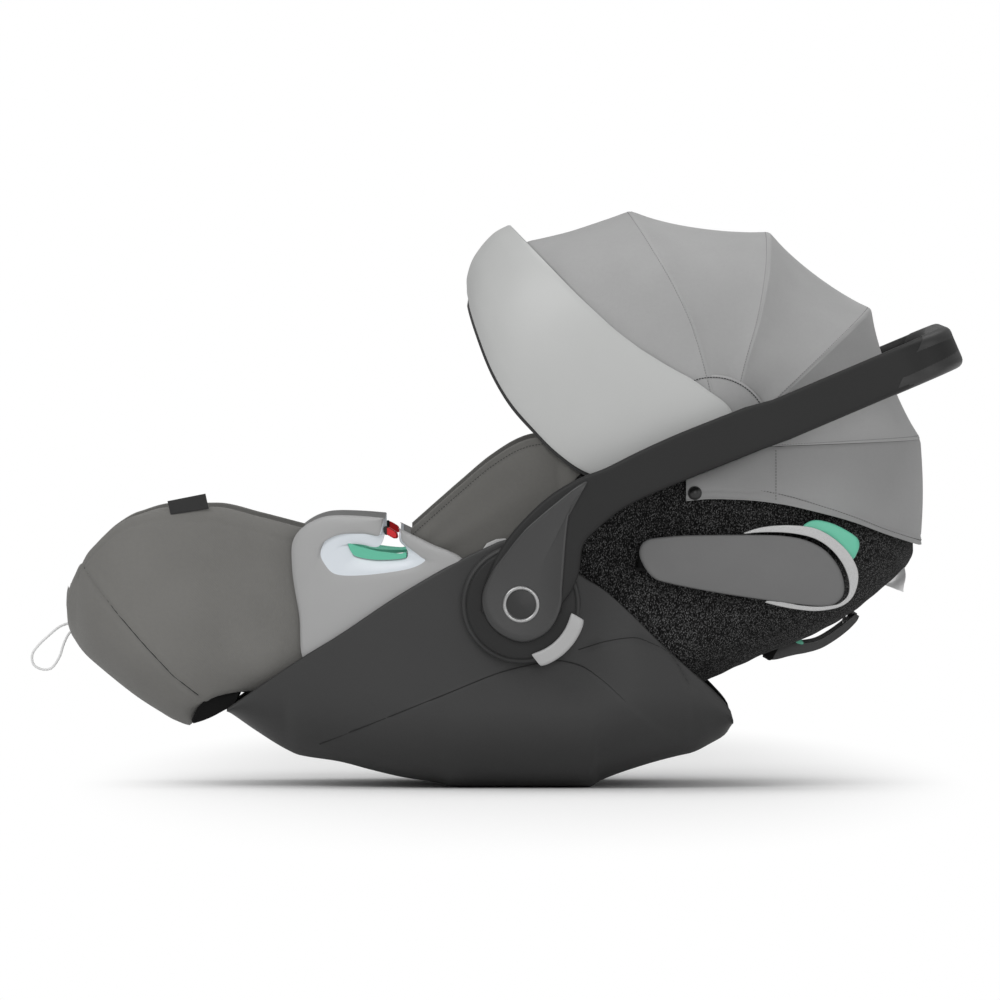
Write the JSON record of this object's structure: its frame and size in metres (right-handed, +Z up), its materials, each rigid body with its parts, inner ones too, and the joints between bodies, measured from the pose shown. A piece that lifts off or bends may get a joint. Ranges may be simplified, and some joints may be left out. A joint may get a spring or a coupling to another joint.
{
  "type": "infant car seat",
  "caption": "Lie-flat infant carrier: base with swivelling handle, reclining backrest with folding hood and side protectors, tilting leg rest and belt guides.",
  "frame": {"origin": "on the floor, on the centre plane, straight below the axis of the handle pivots", "axes": "+X points to the head end, +Z is up, and the left side is at -Y"},
  "size_m": [0.9321, 0.442, 0.5754],
  "materials": {
    "base_shell": "moulded, fine grain",
    "base_sole": "moulded",
    "lock_bars": "plain steel",
    "pivot_bosses": "moulded",
    "seat_tub": "moulded",
    "guide_panels": "moulded, satin",
    "guide_bezels": "moulded, satin",
    "guide_liners": "moulded",
    "belt_gate_left": "moulded",
    "belt_gate_right": "moulded",
    "seat_cushion": "woven cover over foam",
    "recline_pins": "plain steel",
    "leg_rest_rod": "plain steel",
    "lower_straps": "webbing",
    "buckle_body": "moulded",
    "buckle_button": "moulded",
    "adjuster_housing": "moulded",
    "adjuster_button": "moulded",
    "stroller_lever_left": "moulded",
    "stroller_lever_right": "moulded",
    "leg_rest_tray": "moulded",
    "leg_rest_cover": "woven cover over a padded shell",
    "leg_rest_pad": "woven cover over foam",
    "pull_loop": "round cord",
    "leg_rest_label": "woven, blank",
    "side_gussets": "woven",
    "hinge_plates": "moulded",
    "backrest_shell": "knitted cover over a moulded shell",
    "backrest_cushion": "woven cover over foam",
    "hood_skirt": "woven",
    "hood_pivots": "moulded",
    "hood_bow_rear": "moulded",
    "hood_bow_upper": "moulded",
    "hood_bow_top": "moulded",
    "hood_bow_front": "moulded",
    "hood_panel_rear": "woven",
    "hood_panel_upper": "woven",
    "hood_panel_top": "woven",
    "hood_panel_front": "woven",
    "visor": "smooth cloth over a stiff peak",
    "visor_lining": "woven",
    "headrest_shell": "moulded",
    "headrest_pad": "woven cover over foam",
    "headrest_lever": "moulded",
    "shoulder_pads": "padded",
    "harness_straps": "webbing",
    "guard_frame_left": "satin silver",
    "guard_frame_right": "satin silver",
    "guard_panel_left": "moulded, fine grain",
    "guard_panel_right": "moulded, fine grain",
    "guard_button_left": "moulded",
    "guard_button_right": "moulded",
    "recline_lever": "moulded",
    "recline_lever_tip": "moulded",
    "handle_bow": "moulded, fine grain",
    "handle_grip": "soft rubber",
    "hub_medallions": "plain ring",
    "handle_button_left": "moulded",
    "handle_button_right": "moulded"
  },
  "bodies": {
    "base": {"base_shell": "base_shell", "base_sole": "base_sole", "lock_bars": "lock_bars", "pivot_bosses": "pivot_bosses", "seat_tub": "seat_tub", "guide_panels": "guide_panels", "guide_bezels": "guide_bezels", "guide_liners": "guide_liners", "seat_cushion": "seat_cushion", "recline_pins": "recline_pins", "leg_rest_rod": "leg_rest_rod", "lower_straps": "lower_straps", "adjuster_housing": "adjuster_housing", "side_gussets": "side_gussets"},
    "belt_gate_left": {"belt_gate_left": "belt_gate_left"},
    "belt_gate_right": {"belt_gate_right": "belt_gate_right"},
    "adjuster_button": {"adjuster_button": "adjuster_button"},
    "stroller_lever_left": {"stroller_lever_left": "stroller_lever_left"},
    "stroller_lever_right": {"stroller_lever_right": "stroller_lever_right"},
    "leg_rest": {"leg_rest_tray": "leg_rest_tray", "leg_rest_cover": "leg_rest_cover", "leg_rest_pad": "leg_rest_pad", "pull_loop": "pull_loop", "leg_rest_label": "leg_rest_label"},
    "backrest": {"hinge_plates": "hinge_plates", "backrest_shell": "backrest_shell", "backrest_cushion": "backrest_cushion", "hood_skirt": "hood_skirt", "hood_pivots": "hood_pivots", "hood_bow_rear": "hood_bow_rear", "buckle_body": "buckle_body", "harness_straps": "harness_straps"},
    "buckle_button": {"buckle_button": "buckle_button"},
    "hood_upper": {"hood_bow_upper": "hood_bow_upper", "hood_panel_rear": "hood_panel_rear"},
    "hood_top": {"hood_bow_top": "hood_bow_top", "hood_panel_upper": "hood_panel_upper"},
    "hood_front": {"hood_bow_front": "hood_bow_front", "hood_panel_top": "hood_panel_top"},
    "visor": {"visor": "visor", "visor_lining": "visor_lining", "hood_panel_front": "hood_panel_front"},
    "headrest": {"headrest_shell": "headrest_shell", "headrest_pad": "headrest_pad", "shoulder_pads": "shoulder_pads"},
    "headrest_lever": {"headrest_lever": "headrest_lever"},
    "guard_left": {"guard_frame_left": "guard_frame_left", "guard_panel_left": "guard_panel_left"},
    "guard_right": {"guard_frame_right": "guard_frame_right", "guard_panel_right": "guard_panel_right"},
    "guard_button_left": {"guard_button_left": "guard_button_left"},
    "guard_button_right": {"guard_button_right": "guard_button_right"},
    "recline_lever": {"recline_lever": "recline_lever", "recline_lever_tip": "recline_lever_tip"},
    "handle": {"handle_bow": "handle_bow", "handle_grip": "handle_grip", "hub_medallions": "hub_medallions"},
    "handle_button_left": {"handle_button_left": "handle_button_left"},
    "handle_button_right": {"handle_button_right": "handle_button_right"}
  },
  "joints": [
    {"name": "handle_swing", "type": "hinge", "parent": "base", "child": "handle", "pos_m": [0, 0, 0.185], "axis": [0, -1, 0], "range_deg": [0, 105]},
    {"name": "handle_button_left_press", "type": "slide", "parent": "handle", "child": "handle_button_left", "axis": [-0.6947, 0, 0.7193], "range_m": [0, 0.0035], "stiffness_N_per_m": 600, "springref_m": -0.001},
    {"name": "handle_button_right_press", "type": "slide", "parent": "handle", "child": "handle_button_right", "axis": [-0.6947, 0, 0.7193], "range_m": [0, 0.0035], "stiffness_N_per_m": 600, "springref_m": -0.001},
    {"name": "recline", "type": "hinge", "parent": "base", "child": "backrest", "pos_m": [0.075, 0, 0.11], "axis": [0, -1, 0], "range_deg": [0, 15], "deforming": ["side_gussets", "lower_straps"]},
    {"name": "leg_rest_tilt", "type": "hinge", "parent": "base", "child": "leg_rest", "pos_m": [-0.262, 0, 0.088], "axis": [0, -1, 0], "range_deg": [0, 25]},
    {"name": "hood_upper_fold", "type": "hinge", "parent": "backrest", "child": "hood_upper", "pos_m": [0.203, 0, 0.34], "axis": [0, 1, 0], "range_deg": [0, 22], "deforming": ["hood_panel_rear"]},
    {"name": "hood_top_fold", "type": "hinge", "parent": "hood_upper", "child": "hood_top", "pos_m": [0.203, 0, 0.34], "axis": [0, 1, 0], "range_deg": [0, 22], "deforming": ["hood_panel_upper"]},
    {"name": "hood_front_fold", "type": "hinge", "parent": "hood_top", "child": "hood_front", "pos_m": [0.203, 0, 0.34], "axis": [0, 1, 0], "range_deg": [0, 20], "deforming": ["hood_panel_top"]},
    {"name": "visor_fold", "type": "hinge", "parent": "hood_front", "child": "visor", "pos_m": [0.203, 0, 0.34], "axis": [0, 1, 0], "range_deg": [0, 8], "deforming": ["hood_panel_front"]},
    {"name": "headrest_height", "type": "slide", "parent": "backrest", "child": "headrest", "axis": [0.8572, 0, 0.515], "range_m": [0, 0.075], "deforming": ["harness_straps"]},
    {"name": "headrest_lever_pull", "type": "slide", "parent": "headrest", "child": "headrest_lever", "axis": [0.8572, 0, 0.515], "range_m": [0, 0.004], "stiffness_N_per_m": 600, "springref_m": -0.001},
    {"name": "guard_left_swing", "type": "hinge", "parent": "backrest", "child": "guard_left", "pos_m": [0.121, -0.1735, 0.229], "axis": [0, 0, -1], "range_deg": [0, 50]},
    {"name": "guard_right_swing", "type": "hinge", "parent": "backrest", "child": "guard_right", "pos_m": [0.121, 0.1735, 0.229], "axis": [0, 0, 1], "range_deg": [0, 50]},
    {"name": "guard_button_left_press", "type": "slide", "parent": "backrest", "child": "guard_button_left", "axis": [0, 1, 0], "range_m": [0, 0.0025], "stiffness_N_per_m": 600, "springref_m": -0.001},
    {"name": "guard_button_right_press", "type": "slide", "parent": "backrest", "child": "guard_button_right", "axis": [0, -1, 0], "range_m": [0, 0.0025], "stiffness_N_per_m": 600, "springref_m": -0.001},
    {"name": "recline_lever_pull", "type": "hinge", "parent": "backrest", "child": "recline_lever", "pos_m": [0.249, 0, 0.1295], "axis": [0, 1, 0], "range_deg": [0, 12], "stiffness_Nm_per_rad": 0.3, "springref_deg": -17.19},
    {"name": "buckle_release", "type": "slide", "parent": "backrest", "child": "buckle_button", "axis": [-0.8829, 0, -0.4695], "range_m": [0, 0.003], "stiffness_N_per_m": 600, "springref_m": -0.001},
    {"name": "adjuster_press", "type": "slide", "parent": "base", "child": "adjuster_button", "axis": [0, 0, -1], "range_m": [0, 0.0025], "stiffness_N_per_m": 600, "springref_m": -0.001},
    {"name": "stroller_lever_left_pull", "type": "slide", "parent": "base", "child": "stroller_lever_left", "axis": [0, 0, 1], "range_m": [0, 0.004], "stiffness_N_per_m": 600, "springref_m": -0.001},
    {"name": "stroller_lever_right_pull", "type": "slide", "parent": "base", "child": "stroller_lever_right", "axis": [0, 0, 1], "range_m": [0, 0.004], "stiffness_N_per_m": 600, "springref_m": -0.001},
    {"name": "belt_gate_left_swing", "type": "hinge", "parent": "base", "child": "belt_gate_left", "pos_m": [-0.13267, -0.15701, 0.2535], "axis": [0.2504, 0.9681, 0], "range_deg": [0, 40], "stiffness_Nm_per_rad": 0.01, "springref_deg": -17.19},
    {"name": "belt_gate_right_swing", "type": "hinge", "parent": "base", "child": "belt_gate_right", "pos_m": [-0.13267, 0.15701, 0.2535], "axis": [-0.2504, 0.9681, 0], "range_deg": [0, 40], "stiffness_Nm_per_rad": 0.01, "springref_deg": -17.19}
  ],
  "couplings": [
    {"joint": "leg_rest_tilt", "follows": "recline", "ratio": 1.6666},
    {"joint": "hood_top_fold", "follows": "hood_upper_fold", "ratio": 1},
    {"joint": "hood_front_fold", "follows": "hood_upper_fold", "ratio": 0.909},
    {"joint": "visor_fold", "follows": "hood_upper_fold", "ratio": 0.3636}
  ]
}
